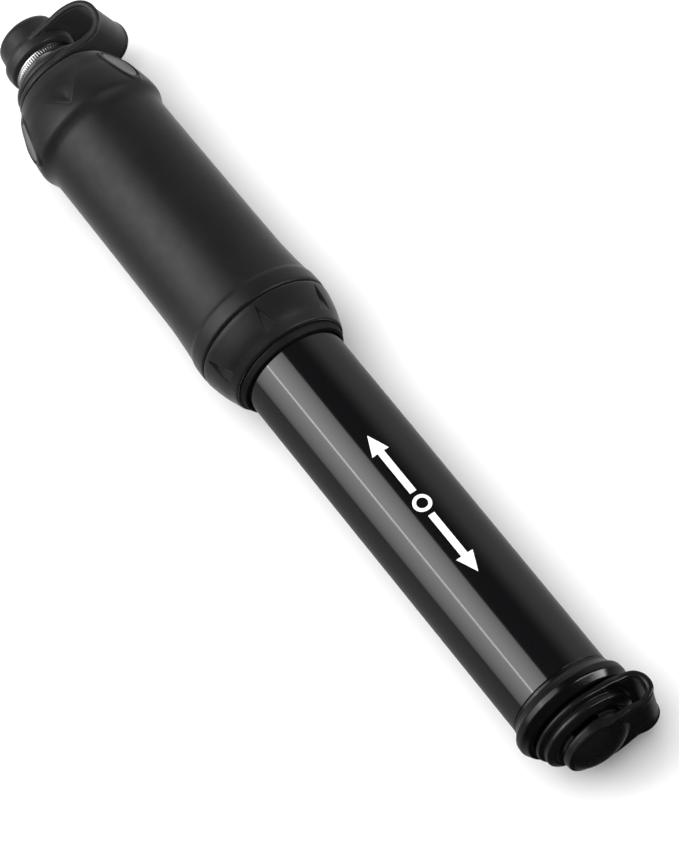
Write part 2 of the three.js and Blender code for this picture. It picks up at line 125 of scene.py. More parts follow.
def add_world():
    """A pale glow from low down on both sides, stronger towards the handle end, and darkness elsewhere."""
    world = bpy.data.worlds.new("studio")
    bpy.context.scene.world = world
    world.use_nodes = True
    nodes, links = world.node_tree.nodes, world.node_tree.links
    direction = nodes.new("ShaderNodeTexCoord")
    glow = None
    for side, start, full, strength in SIDE_GLOWS:
        slope = nodes.new("ShaderNodeVectorMath")
        slope.operation = "DOT_PRODUCT"
        slope.inputs[1].default_value = (-0.95, 0.75 * side, -0.65)
        links.new(direction.outputs["Generated"], slope.inputs[0])
        wall = nodes.new("ShaderNodeMapRange")
        wall.interpolation_type = "SMOOTHSTEP"
        wall.inputs["From Min"].default_value = start
        wall.inputs["From Max"].default_value = full
        wall.inputs["To Min"].default_value = DARK_STRENGTH
        wall.inputs["To Max"].default_value = strength
        links.new(slope.outputs["Value"], wall.inputs["Value"])
        if glow is None:
            glow = wall.outputs["Result"]
            continue
        brighter = nodes.new("ShaderNodeMath")
        brighter.operation = "MAXIMUM"
        links.new(glow, brighter.inputs[0])
        links.new(wall.outputs["Result"], brighter.inputs[1])
        glow = brighter.outputs["Value"]
    links.new(glow, nodes["Background"].inputs["Strength"])
    nodes["Background"].inputs["Color"].default_value = (1, 1, 1, 1)


FLOOR_HALF = 3.0


def add_studio():
    """The softbox and thin tube that the barrel mirrors, a window for glints, soft light and the floor."""
    bpy.context.scene.view_settings.view_transform = "Standard"
    add_world()
    add_area_light("softbox", angle=-43.5, tilt=27, distance=1.0, length=0.62, width=1.54, power=2.2,
                   spread=98, swivel=9)
    add_area_light("tube", angle=-39.0, tilt=27, distance=0.97, length=0.62, width=0.04, power=0.38)
    window = add_area_light("window", angle=68, tilt=-26, distance=1.2, length=0.15, width=1.3, power=5.5)
    window.visible_diffuse = False
    overhead = add_area_light("overhead", angle=0, tilt=0, distance=1.6, length=2.0, width=2.0, power=52)
    overhead.visible_glossy = False
    bm = bmesh.new()
    corners = ((-1, -1), (1, -1), (1, 1), (-1, 1))
    bm.faces.new([bm.verts.new((x * FLOOR_HALF, y * FLOOR_HALF, 0)) for x, y in corners])
    floor = mesh_object("floor", bm)
    floor.data.materials.append(floor_material())
    floor.visible_glossy = False


# ---------------------------------------------------------------- mesh helpers

def mesh_object(name, bm):
    """A smooth-shaded object of a bmesh, which is freed."""
    bmesh.ops.recalc_face_normals(bm, faces=bm.faces)
    mesh = bpy.data.meshes.new(name)
    bm.to_mesh(mesh)
    bm.free()
    mesh.shade_smooth()
    obj = bpy.data.objects.new(name, mesh)
    bpy.context.scene.collection.objects.link(obj)
    return obj


def at(x, radius, angle):
    """A point by its millimetres along the pump, its radius, and its angle from straight up towards +Y."""
    return Vector((x * MM, AXIS_Y + radius * MM * math.sin(angle), AXIS_Z + radius * MM * math.cos(angle)))


def rounded(corners, closed=True, support=0.05):
    """Outline points (x, radius) from corners (x, radius, fillet), which may leave out the fillet.

    Each fillet is an arc, with a point support past each end where there is room, so that flats stay flat.
    """
    count = len(corners)
    outline = []
    for i, corner in enumerate(corners):
        x, r = corner[:2]
        fillet = corner[2] if len(corner) > 2 else 0
        point = Vector((x, r))
        inner = closed or 0 < i < count - 1
        if not inner or fillet == 0:
            outline.append((x, r))
            continue
        before = Vector(corners[i - 1][:2]) - point
        after = Vector(corners[(i + 1) % count][:2]) - point
        half = before.angle(after) / 2
        if half > math.radians(88):
            outline.append((x, r))
            continue
        reach = min(fillet / math.tan(half), 0.48 * before.length, 0.48 * after.length)
        radius = reach * math.tan(half)
        b, a = before.normalized(), after.normalized()
        centre = point + (a + b).normalized() * radius / math.sin(half)
        start = point + b * reach
        end = point + a * reach
        steps = max(3, round(math.degrees(math.pi - 2 * half) / 12))
        first, last = start - centre, end - centre
        sweep = first.angle_signed(last)
        if reach + support < 0.5 * before.length:
            outline.append(tuple(start + b * support))
        for k in range(steps + 1):
            turned = Matrix.Rotation(-sweep * k / steps, 2) @ first
            outline.append(tuple(centre + turned))
        if reach + support < 0.5 * after.length:
            outline.append(tuple(end + a * support))
    return outline


def curve_through(points, step):
    """Points on a smooth curve through the given ones, about one step apart."""
    result = []
    for i in range(len(points) - 1):
        p0 = Vector(points[max(i - 1, 0)])
        p1, p2 = Vector(points[i]), Vector(points[i + 1])
        p3 = Vector(points[min(i + 2, len(points) - 1)])
        spans = [max((b - a).length, 1e-6) ** 0.5 for a, b in ((p0, p1), (p1, p2), (p2, p3))]
        m1 = (p2 - p1) / spans[1] - (p2 - p0) / (spans[0] + spans[1]) + (p1 - p0) / spans[0]
        m2 = (p3 - p2) / spans[2] - (p3 - p1) / (spans[1] + spans[2]) + (p2 - p1) / spans[1]
        if i == 0:
            m1 = (p2 - p1) / spans[1]
        if i == len(points) - 2:
            m2 = (p2 - p1) / spans[1]
        m1, m2 = m1 * spans[1], m2 * spans[1]
        count = max(1, round((p2 - p1).length / step))
        for k in range(count):
            t = k / count
            result.append(tuple(
                (2 * t**3 - 3 * t**2 + 1) * p1 + (t**3 - 2 * t**2 + t) * m1
                + (3 * t**2 - 2 * t**3) * p2 + (t**3 - t**2) * m2))
    result.append(tuple(points[-1]))
    return result


def turned_surface(bm, outline, steps, shape=None):
    """The rings of an outline turned about the pump's axis, joined by faces.

    shape(x, radius, angle) may change a point's radius.
    """
    rings = []
    for x, r in outline:
        if r < 1e-6:
            rings.append([bm.verts.new(at(x, 0, 0))])
            continue
        ring = []
        for k in range(steps):
            angle = TURN * k / steps
            radius = shape(x, r, angle) if shape else r
            ring.append(bm.verts.new(at(x, radius, angle)))
        rings.append(ring)
    for first, second in zip(rings, rings[1:]):
        join_rings(bm, first, second)
    return rings


def join_rings(bm, first, second):
    """Faces between two closed rings of points. A ring of one point makes a cap of triangles."""
    count = max(len(first), len(second))
    for k in range(count):
        following = (k + 1) % count
        a, b = first[k % len(first)], first[following % len(first)]
        c, d = second[following % len(second)], second[k % len(second)]
        corners = [v for i, v in enumerate((a, b, c, d)) if v not in (a, b, c, d)[:i]]
        if len(corners) > 2:
            bm.faces.new(corners)


def turned(name, outline, steps=144, shape=None):
    """A closed turned piece. The outline starts and ends on the axis, or closes on itself."""
    bm = bmesh.new()
    rings = turned_surface(bm, outline, steps, shape)
    if outline[0][1] > 1e-6:
        join_rings(bm, rings[-1], rings[0])
    return mesh_object(name, bm)


# ---------------------------------------------------------------- materials

def new_material(name, colour, roughness, metallic=0.0, **sockets):
    """A Principled material. sockets are more of its inputs, with _ for a space."""
    material = bpy.data.materials.new(name)
    material.use_nodes = True
    shader = material.node_tree.nodes["Principled BSDF"]
    shader.inputs["Base Color"].default_value = (*colour, 1)
    shader.inputs["Roughness"].default_value = roughness
    shader.inputs["Metallic"].default_value = metallic
    for socket, value in sockets.items():
        shader.inputs[socket.replace("_", " ")].default_value = value
    return material


def noise(material, scale, detail=4.0, stretch=(1, 1, 1)):
    """A noise texture, scale cells to the metre. stretch below 1 draws it out along that axis."""
    nodes, links = material.node_tree.nodes, material.node_tree.links
    place = nodes.new("ShaderNodeTexCoord")
    mapping = nodes.new("ShaderNodeMapping")
    mapping.inputs["Scale"].default_value = stretch
    texture = nodes.new("ShaderNodeTexNoise")
    texture.inputs["Scale"].default_value = scale
    texture.inputs["Detail"].default_value = detail
    texture.inputs["Roughness"].default_value = 0.55
    links.new(place.outputs["Object"], mapping.inputs["Vector"])
    links.new(mapping.outputs["Vector"], texture.inputs["Vector"])
    return texture.outputs["Fac"]


def spread(material, factor, low, high, from_low=0.3, from_high=0.7):
    """A number or colour that varies from low to high with a texture."""
    nodes, links = material.node_tree.nodes, material.node_tree.links
    if isinstance(low, tuple):
        ramp = nodes.new("ShaderNodeValToRGB")
        ramp.color_ramp.elements[0].position = from_low
        ramp.color_ramp.elements[1].position = from_high
        ramp.color_ramp.elements[0].color = (*low, 1)
        ramp.color_ramp.elements[1].color = (*high, 1)
        links.new(factor, ramp.inputs["Fac"])
        return ramp.outputs["Color"]
    span = nodes.new("ShaderNodeMapRange")
    span.inputs["From Min"].default_value = from_low
    span.inputs["From Max"].default_value = from_high
    span.inputs["To Min"].default_value = low
    span.inputs["To Max"].default_value = high
    links.new(factor, span.inputs["Value"])
    return span.outputs["Result"]


def feed(material, socket, output):
    """Links a texture to one of the material's inputs."""
    shader = material.node_tree.nodes["Principled BSDF"]
    material.node_tree.links.new(output, shader.inputs[socket])


def bump(material, *layers):
    """Surface relief from (texture, depth in metres) layers, the first one deepest in the chain."""
    nodes, links = material.node_tree.nodes, material.node_tree.links
    normal = None
    for height, depth in layers:
        node = nodes.new("ShaderNodeBump")
        node.inputs["Distance"].default_value = depth
        node.inputs["Strength"].default_value = 1.0
        links.new(height, node.inputs["Height"])
        if normal:
            links.new(normal, node.inputs["Normal"])
        normal = node.outputs["Normal"]
    feed(material, "Normal", normal)


def grey(level):
    """A neutral grey with the trace of blue that black rubber and plastic have."""
    return (level, level, level + 0.0002)


def floor_material():
    material = new_material("floor_paint", (0.82, 0.82, 0.82), 0.85)
    feed(material, "Base Color", spread(material, noise(material, 3), (0.80, 0.80, 0.80), (0.84, 0.84, 0.84)))
    return material


def soft_rubber(name, dark, light):
    """Matte soft-touch rubber with a fine moulded grain."""
    material = new_material(name, dark, 0.6)
    feed(material, "Base Color", spread(material, noise(material, 90, 5), dark, light))
    feed(material, "Roughness", spread(material, noise(material, 350), 0.38, 0.46))
    shader = material.node_tree.nodes["Principled BSDF"]
    shader.inputs["Sheen Weight"].default_value = 0.25
    shader.inputs["Sheen Roughness"].default_value = 0.35
    bump(material, (noise(material, 2600, 3), 0.00002), (noise(material, 700, 3), 0.00002))
    return material


def satin_rubber(name, dark, light, rough_low, rough_high, sheen=0.0):
    """Smooth moulded rubber, slightly oily, as on the caps. sheen greys its edges."""
    material = new_material(name, dark, rough_low)
    feed(material, "Base Color", spread(material, noise(material, 160, 4), dark, light))
    feed(material, "Roughness", spread(material, noise(material, 500), rough_low, rough_high))
    bump(material, (noise(material, 1500, 3), 0.000004))
    if sheen:
        shader = material.node_tree.nodes["Principled BSDF"]
        shader.inputs["Sheen Weight"].default_value = sheen
        shader.inputs["Sheen Roughness"].default_value = 0.4
    return material


def anodised(name):
    """Gloss black anodised aluminium, with the faint lengthwise lines of a drawn tube."""
    material = new_material(name, (0.004, 0.004, 0.0045), 0.1, IOR=1.75)
    lines = noise(material, 900, 3, stretch=(0.012, 1, 1))
    feed(material, "Roughness", spread(material, lines, 0.07, 0.11))
    bump(material, (lines, 0.0000004))
    return material


def metal(name, colour, roughness):
    """Turned metal, with fine lines round the pump's axis."""
    material = new_material(name, colour, roughness, 1.0)
    lines = noise(material, 1200, 3, stretch=(1, 0.05, 0.05))
    feed(material, "Roughness", spread(material, lines, roughness * 0.7, roughness * 1.4))
    bump(material, (lines, 0.000002))
    return material


def plastic(name, dark, light, roughness):
    """Moulded plastic or thick ink with a faint grain."""
    material = new_material(name, dark, roughness)
    feed(material, "Base Color", spread(material, noise(material, 250, 4), dark, light))
    bump(material, (noise(material, 1800, 3), 0.000008))
    return material


MATERIALS = {
    "soft_grip": soft_rubber("soft_grip", grey(0.0055), grey(0.0075)),
    "collar_rubber": soft_rubber("collar_rubber", grey(0.005), grey(0.0068)),
    "inlay_rubber": soft_rubber("inlay_rubber", (0.085, 0.085, 0.087), (0.105, 0.105, 0.107)),
    "barrel_black": anodised("barrel_black"),
    "end_black": satin_rubber("end_black", grey(0.002), grey(0.003), 0.16, 0.22),
    "cap_rubber": satin_rubber("cap_rubber", grey(0.0045), grey(0.0065), 0.21, 0.28),
    # the hose cap's copy of the cap rubber, with more sheen: its paler base colour is painted light, the
    # lighter tone that light gives the hose end
    "cap_rubber_painted_lighter": satin_rubber("cap_rubber_painted_lighter", grey(0.009), grey(0.013), 0.34, 0.42, sheen=0.22),
    "nylon_black": plastic("nylon_black", (0.015, 0.015, 0.015), (0.022, 0.022, 0.022), 0.45),
    "acetal_white": plastic("acetal_white", (0.72, 0.71, 0.67), (0.78, 0.77, 0.73), 0.4),
    "seal_rubber": satin_rubber("seal_rubber", (0.001, 0.001, 0.001), (0.002, 0.002, 0.002), 0.55, 0.62),
    "hose_rubber": satin_rubber("hose_rubber", (0.018, 0.018, 0.018), (0.024, 0.024, 0.024), 0.45, 0.55),
    "shaft_aluminium": metal("shaft_aluminium", (0.62, 0.63, 0.64), 0.28),
    "steel": metal("steel", (0.55, 0.56, 0.57), 0.25),
    "chrome": metal("chrome", (0.90, 0.905, 0.91), 0.14),
    "brass": metal("brass", (0.62, 0.44, 0.17), 0.25),
    "print_white": plastic("print_white", (0.80, 0.80, 0.80), (0.86, 0.86, 0.86), 0.5),
}

# every CAD node that still shows wears its slot's material
for row in frame["record"]["subparts"]:
    node = frame["nodes"][row["node"]]
    node.data.materials.clear()
    node.data.materials.append(MATERIALS[row["material_slot"]])


def finish_piece(obj, material, body=None, *replaced):
    """Gives a piece its material, lets it ride on a body and stand for CAD nodes."""
    obj.data.materials.append(MATERIALS[material])
    if body:
        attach(obj, body)
    if replaced:
        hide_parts(*replaced)
    return obj


def ramp(value, low, high):
    """0 below low, 1 above high, smooth between."""
    t = min(max((value - low) / (high - low), 0), 1)
    return t * t * (3 - 2 * t)


def turn_between(angle, middle):
    """The signed turn from middle to angle, from -pi to pi."""
    return (angle - middle + math.pi) % TURN - math.pi


# ---------------------------------------------------------------- grip, inlays and collar

GRIP_TOP_X = -82.9
GRIP_END_X = -11.85
SHOULDER = [
    (GRIP_TOP_X, 10.9), (-80.3, 12.2), (-78.4, 12.9), (-76.2, 13.65), (-73.5, 14.2), (-71.4, 14.46),
    (-70.2, 14.46), (-69.5, 14.25), (-68.6, 13.85), (-67.6, 13.52), (-66.6, 13.38), (-65.2, 13.33),
]
BODY = [(-65.2, 13.33), (-50, 13.43), (-35, 13.56), (-25, 13.68)]
FLARE = [
    (-25, 13.68), (-22, 13.87), (-18.6, 14.14), (-16.9, 14.32), (-16.2, 14.42), (-15.6, 14.62),
    (-15.0, 14.70), (-12.3, 14.75), (GRIP_END_X, 14.62),
]
INLAY_ANGLES = [math.radians(59.5 + 117 * i) for i in range(3)]
INLAY_X = -75.9
INLAY_HALF_LENGTH = 4.95
INLAY_HALF_WIDTH = 2.5
FACET_ANGLES = [math.radians(-3.5 + 120 * i) for i in range(3)]
FACET_APEX_X = -71.3
FACET_HALF_ANGLE = math.radians(40)
FACET_DEPTH = 1.05
RIM_HEIGHT = 0.3
POCKET_DEPTH = 0.75
INLAY_GAP = 0.22
DETAIL_END_X = -64


def oval_distance(x, r, angle, middle):
    """How far a point lies inside (negative) or outside an inlay's rim, in millimetres."""
    across = r * turn_between(angle, middle)
    along = x - INLAY_X
    scaled = math.hypot(along / INLAY_HALF_LENGTH, across / INLAY_HALF_WIDTH)
    return (scaled - 1) * INLAY_HALF_WIDTH


def facet_cut(x, angle, middle):
    """Depth of a thumb facet: a scoop with a pointed end, deepest near it and shallow at the grip's edge."""
    progress = (FACET_APEX_X - x) / (FACET_APEX_X - GRIP_TOP_X)
    if progress <= 0:
        return 0
    offset = turn_between(angle, middle) / (FACET_HALF_ANGLE * progress)
    scoop = max(0, 1 - offset * offset) ** 1.4
    depth = FACET_DEPTH * (0.35 + 0.65 * (1 - ramp(progress, 0.05, 0.8)))
    return depth * scoop * ramp(progress, -0.03, 0.19)


def grip_shape(x, r, angle):
    """Shoulder details: thumb facets that end in a point, and raised rims round the inlay pockets."""
    if x > DETAIL_END_X:
        return r
    for middle in FACET_ANGLES:
        r -= facet_cut(x, angle, middle)
    for middle in INLAY_ANGLES:
        distance = oval_distance(x, r, angle, middle)
        r += RIM_HEIGHT * ramp(distance, -0.15, 0.15) * (1 - ramp(distance, 0.25, 0.75))
        r -= POCKET_DEPTH * (1 - ramp(distance, -0.25, 0.0))
    return r


def build_grip():
    outer = curve_through(SHOULDER, 0.2)[:-1] + curve_through(BODY, 4)[:-1] + curve_through(FLARE, 0.4)
    inner = [(GRIP_END_X, 12.5), (-75.3, 12.5), (-75.3, 10.75), (GRIP_TOP_X, 10.0), (GRIP_TOP_X - 0.25, 10.3),
             (GRIP_TOP_X - 0.22, 10.65)]
    finish_piece(turned("grip", outer + inner, 480, grip_shape), "soft_grip", "handle", "handle_grip")


def shoulder_radius(x):
    """The shoulder's radius without its details, between the points of its outline."""
    for (x0, r0), (x1, r1) in zip(SHOULDER, SHOULDER[1:]):
        if x0 <= x <= x1:
            return r0 + (r1 - r0) * (x - x0) / (x1 - x0)
    return SHOULDER[-1][1]


def build_inlay(name, middle, node):
    """An oval pad with a dished face, set in its pocket."""
    bm = bmesh.new()
    rim_steps = 72
    # (share of the way out to the rim, millimetres under the surface) of the pad's rings
    rows = [(0.0, 0.16), (0.3, 0.14), (0.55, 0.08), (0.72, 0.0), (0.8, -0.1), (0.86, -0.22), (0.91, -0.26),
            (0.95, -0.2), (0.985, 0.0), (1.0, 0.30), (1.0, 0.7)]
    rings = []
    for share, sink in rows:
        ring = []
        for k in range(rim_steps if share else 1):
            turn = TURN * k / rim_steps
            x = INLAY_X + share * (INLAY_HALF_LENGTH - INLAY_GAP) * math.cos(turn)
            r = shoulder_radius(x)
            angle = middle + share * (INLAY_HALF_WIDTH - INLAY_GAP) * math.sin(turn) / r
            ring.append(bm.verts.new(at(x, r - 0.12 - sink, angle)))
        rings.append(ring)
    for first, second in zip(rings, rings[1:]):
        join_rings(bm, first, second)
    bm.faces.new(rings[-1])
    finish_piece(mesh_object(name, bm), "inlay_rubber", "handle", node)


COLLAR = [
    (-11.55, 14.42), (-11.4, 14.62), (-10.9, 14.66), (-9.5, 14.42), (-8, 14.1), (-6.3, 13.65), (-4.8, 13.1),
    (-3.75, 12.75), (-3.35, 12.6), (-3.1, 12.35),
]
NOTCH_ANGLES = [math.radians(7 + 60 * i) for i in range(6)]
NOTCH_APEX_X = -10.3
NOTCH_LENGTH = 5.4
NOTCH_HALF_WIDTH = 1.45
NOTCH_DEPTH = 1.25


def collar_shape(x, r, angle):
    """Arrow-shaped notches, deepest at the point next to the seam and running out towards the mouth."""
    if not NOTCH_APEX_X - 0.3 < x < NOTCH_APEX_X + NOTCH_LENGTH:
        return r
    progress = (x - NOTCH_APEX_X) / NOTCH_LENGTH
    for middle in NOTCH_ANGLES:
        half_width = NOTCH_HALF_WIDTH * max(progress, 0) ** 0.8 + 0.15
        inside = half_width - abs(r * turn_between(angle, middle))
        if inside > -0.2:
            r -= NOTCH_DEPTH * (1 - progress) * ramp(progress, -0.04, 0.05) * ramp(inside, -0.04, 0.2)
    return r


def build_collar():
    inner = [(-3.2, 12.05), (-7.2, 12.05), (-7.2, 11.05), (-8.75, 11.05), (-8.75, 12.45), (-11.55, 12.45)]
    finish_piece(turned("collar_ring", curve_through(COLLAR, 0.12) + inner, 840, collar_shape),
                 "collar_rubber", "handle", "collar")
    lip = rounded([(-7.05, 11.0), (-7.05, 11.9), (-2.6, 11.9, 0.3), (-1.5, 11.55, 0.35), (-1.2, 10.9, 0.1),
                   (-2.4, 10.87, 0.2), (-4, 11.3)])
    finish_piece(turned("wiper_lip", lip), "seal_rubber", "handle", "wiper_ring")


# ---------------------------------------------------------------- barrel, print and port housing

BARREL_R = 10.75
BORE_R = 9.6
BARREL_FROM_X = -71.65
BARREL_TO_X = 85.62


def build_barrel():
    outline = rounded([(BARREL_FROM_X, BORE_R, 0.1), (BARREL_FROM_X, BARREL_R, 0.15),
                       (BARREL_TO_X, BARREL_R, 0.12), (BARREL_TO_X, BORE_R, 0.1)])
    finish_piece(turned("barrel", outline, 240), "barrel_black", "barrel", "barrel_tube")


PRINT_FROM_X = 24.0
PRINT_TO_X = 60.0
PRINT_MIDDLE = math.radians(15)
PRINT_THICKNESS = 0.012
BAR_HALF_WIDTH = 0.72
HEAD_LENGTH = 4.4
HEAD_HALF_WIDTH = 1.9
TIP_HALF_WIDTH = 0.02
RING_OUTER_R = 1.9
RING_INNER_R = 1.15
RING_GAP = 1.0


def build_print():
    """A plain stroke arrow with two heads and a ring in its middle, printed along the barrel."""
    bm = bmesh.new()

    def patch(corners, columns, rows=1):
        """A quadrilateral of (x, across) corners, bent round the barrel."""
        a, b, c, d = (Vector(corner) for corner in corners)
        grid = []
        for j in range(columns + 1):
            low, top = a.lerp(d, j / columns), b.lerp(c, j / columns)
            line = [low.lerp(top, k / rows) for k in range(rows + 1)]
            grid.append([bm.verts.new(at(x, BARREL_R + PRINT_THICKNESS, PRINT_MIDDLE + across / BARREL_R))
                         for x, across in line])
        for first, second in zip(grid, grid[1:]):
            for k in range(rows):
                bm.faces.new((first[k], first[k + 1], second[k + 1], second[k]))

    def ring_point(radius, turn):
        return (middle + radius * math.cos(turn), radius * math.sin(turn))

    middle = (PRINT_FROM_X + PRINT_TO_X) / 2
    for tip, side in ((PRINT_FROM_X, 1), (PRINT_TO_X, -1)):
        base = tip + side * HEAD_LENGTH
        tail = middle - side * (RING_OUTER_R + RING_GAP)
        half = BAR_HALF_WIDTH
        patch([(base, -half), (tail, -half), (tail, half), (base, half)], 3)
        patch([(tip, -TIP_HALF_WIDTH), (base, -HEAD_HALF_WIDTH),
               (base, HEAD_HALF_WIDTH), (tip, TIP_HALF_WIDTH)], 12, 12)
    steps = 48
    for k in range(steps):
        now, following = TURN * k / steps, TURN * (k + 1) / steps
        patch([ring_point(RING_INNER_R, now), ring_point(RING_OUTER_R, now),
               ring_point(RING_OUTER_R, following), ring_point(RING_INNER_R, following)], 1, 2)
    finish_piece(mesh_object("stroke_print", bm), "print_white", "barrel")


def build_port_housing():
    outline = rounded([
        (79.2, 1.3), (79.2, 9.45), (82.0, 9.45), (82.0, 8.2), (83.4, 8.2), (83.4, 9.45), (85.75, 9.45),
        (85.75, 10.82, 0.12), (86.5, 10.95, 0.6), (87.3, 11.45, 1.2), (88.2, 12.2, 0.9), (89.6, 12.3, 1.0),
        (91.3, 11.35, 0.5), (91.35, 7.6, 0.1), (95.3, 7.6, 0.25), (95.3, 4.75), (88.1, 4.75), (88.1, 2.9),
        (80.6, 2.9), (80.6, 1.3),
    ])
    finish_piece(turned("port_end", outline, 192), "end_black", "barrel", "port_housing")


# ---------------------------------------------------------------- caps, rings and straps

BEAD = [(0.0, 0.0), (0.12, 0.5), (0.4, 0.75), (0.8, 0.68), (1.15, 0.5)]
WEB_HALF_THICKNESS = 0.45


def strap_section(half_width):
    """(across, height) points round a strap: a thin web between two rounded edges."""
    top = [(edge - half_width, height) for edge, height in BEAD]
    top += [(share * half_width, WEB_HALF_THICKNESS) for share in (-0.6, -0.3, 0, 0.3, 0.6)]
    top += [(half_width - edge, height) for edge, height in reversed(BEAD)]
    return top + [(across, -height) for across, height in reversed(top[1:-1])]


def build_strap(name, route, direction, roots, top_half_width):
    """A looped strap in the plane of the axis and its direction, whose edges flow out of two round ridges.

    route holds the (x, radius) points of its middle line, from inside the ring's ridge to the cap's edge.
    roots are the (ridge radius, lean) of the ring and of the cap: the strap's edges leave the ridge along
    tangents that lean inwards by that angle. top_half_width is at the top of the loop.
    """
    bm = bmesh.new()
    towards = Vector((0, math.sin(direction), math.cos(direction)))
    sideways = Vector((0, -math.cos(direction), math.sin(direction)))
    base = Vector((0, AXIS_Y, AXIS_Z))
    line = curve_through(route, 0.35)
    last = len(line) - 1

    def tangent_half_width(root, reach):
        radius, lean = root
        return (radius - reach * math.sin(lean)) / math.cos(lean)

    def section_ring(x, reach, outward, half_width, root=None, share=1.0):
        ring = []
        for across, height in strap_section(half_width):
            d = reach
            if root:
                start = math.sqrt(max(root[0] ** 2 - across * across, 0))
                d = start + (max(reach, start) - start) * share
            place = (towards * (d + outward.y * height) + sideways * across) * MM
            ring.append(bm.verts.new(base + place + Vector(((x + outward.x * height) * MM, 0, 0))))
        return ring

    def outward_at(i):
        before, after = Vector(line[max(i - 1, 0)]), Vector(line[min(i + 1, last)])
        tangent = (after - before).normalized()
        return Vector((-tangent.y, tangent.x))

    def half_width_at(i):
        share = i / last
        near, reach = (roots[0], route[0][1]) if share < 0.5 else (roots[1], route[-1][1])
        ease = max(0, 1 - min(share, 1 - share) / 0.4) ** 3
        return top_half_width + (tangent_half_width(near, reach) - top_half_width) * ease

    def root_rings(i, root):
        x, reach = line[i]
        start = root[0] * math.sin(root[1])
        rings = []
        for share in (0.0, 0.2, 0.4, 0.6, 0.8):
            half_width = tangent_half_width(root, start + (reach - start) * share)
            rings.append(section_ring(x, reach, outward_at(i), half_width, root, share))
        return rings

    rings = root_rings(0, roots[0])
    rings += [section_ring(*line[i], outward_at(i), half_width_at(i)) for i in range(last + 1)]
    rings += reversed(root_rings(last, roots[1]))
    for first, second in zip(rings, rings[1:]):
        join_rings(bm, first, second)
    bm.faces.new(rings[0])
    bm.faces.new(rings[-1])
    return mesh_object(name, bm)


SKIN_VOXEL = 0.11


def mould_together(objects, names, region):
    """Melts overlapping closed pieces into one skin with soft inside corners, then parts it by region again.

    region(x, radius) gives the index in names of a point, in millimetres from the pump's middle and its axis.
    The parts meet edge to edge and keep the whole skin's shading.
    """
    bm = bmesh.new()
    for obj in objects:
        bm.from_mesh(obj.data)
        bpy.data.objects.remove(obj)
    whole = mesh_object("whole_skin", bm)
    skin = whole.modifiers.new("skin", "REMESH")
    skin.mode = "VOXEL"
    skin.voxel_size = SKIN_VOXEL * MM
    soften = whole.modifiers.new("soften", "SMOOTH")
    soften.factor = 0.5
    soften.iterations = 14
    bpy.context.view_layer.update()
    mesh = whole.evaluated_get(bpy.context.evaluated_depsgraph_get()).to_mesh()
    places = [v.co.copy() for v in mesh.vertices]
    normals = [v.normal.copy() for v in mesh.vertices]
    faces = [tuple(p.vertices) for p in mesh.polygons]
    whole.to_mesh_clear()
    bpy.data.objects.remove(whole)
    part_of = [region(v.x / MM, math.hypot(v.y - AXIS_Y, v.z - AXIS_Z) / MM) for v in places]
    parts = []
    for index, name in enumerate(names):
        chosen = [face for face in faces if max(part_of[v] for v in face) == index]
        used = sorted({v for face in chosen for v in face})
        place_in_part = {v: k for k, v in enumerate(used)}
        part = bpy.data.meshes.new(name)
        part.from_pydata([places[v] for v in used], [], [[place_in_part[v] for v in face] for face in chosen])
        part.shade_smooth()
        part.normals_split_custom_set_from_vertices([normals[v] for v in used])
        obj = bpy.data.objects.new(name, part)
        bpy.context.scene.collection.objects.link(obj)
        parts.append(obj)
    return parts


HOSE_LOOP = math.radians(81)          # the loops lean out on the +Y side, these angles from straight up
PORT_LOOP = math.radians(98)


def leaning(x, r, angle):
    """The dome of the hose cap leans a little towards its loop."""
    return r + 0.35 * math.sin(angle) * ramp(-x, 94.3, 96) * min(r, 4) / 4


def build_hose_cap():
    cap = rounded([
        (-100, 0), (-99.98, 4.4, 0.8), (-98.6, 6.55, 1.6), (-94.45, 6.75, 0.25), (-94.2, 7.5, 0.3),
        (-93.1, 7.65, 0.4), (-91.3, 7.5, 0.35), (-90.8, 6.9, 0.2), (-90.8, 5.4, 0.2), (-93.6, 5.2),
        (-93.6, 0),
    ], closed=False)
    ring = rounded([
        (-87.15, 8.15), (-87.15, 9.1, 0.3), (-86.3, 9.6, 0.4), (-85.5, 9.55, 0.3), (-85.2, 8.9, 0.15),
        (-84.95, 10.1, 0.45), (-83.75, 10.25, 0.45), (-83.45, 9.5, 0.1), (-83.45, 8.15),
    ])
    route = [(-84.35, 9.0), (-84.35, 11.2), (-84.8, 13.3), (-86.1, 14.9), (-88.3, 15.6), (-90.5, 15.2),
             (-92.1, 13.8), (-93.0, 11.8), (-93.4, 9.9), (-93.5, 8.0)]
    roots = ((10.1, math.radians(15)), (7.5, math.radians(4)))
    loop = build_strap("strap", route, HOSE_LOOP, roots, 7.1)
    whole = [turned("cap", cap, shape=leaning), turned("ring", ring), loop]

    def region(x, radius):
        """0 in the ring, 2 in the cap and 1 in the loop."""
        if x > -87.3 and radius < 10.45:
            return 0
        return 2 if x < -90.65 and radius < 7.85 else 1

    names = ("hose_cap_seat", "hose_cap_loop", "hose_cap_dome")
    seat, strap, dome = mould_together(whole, names, region)
    # the hose cap wears the paler copy of the cap rubber, whose lighter colour is painted light
    finish_piece(seat, "cap_rubber_painted_lighter", "handle", "hose_cap_ring")
    finish_piece(dome, "cap_rubber_painted_lighter", "hose_cap", "hose_cap")
    finish_piece(strap, "cap_rubber_painted_lighter", None, "hose_cap_strap")
    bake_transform(strap)


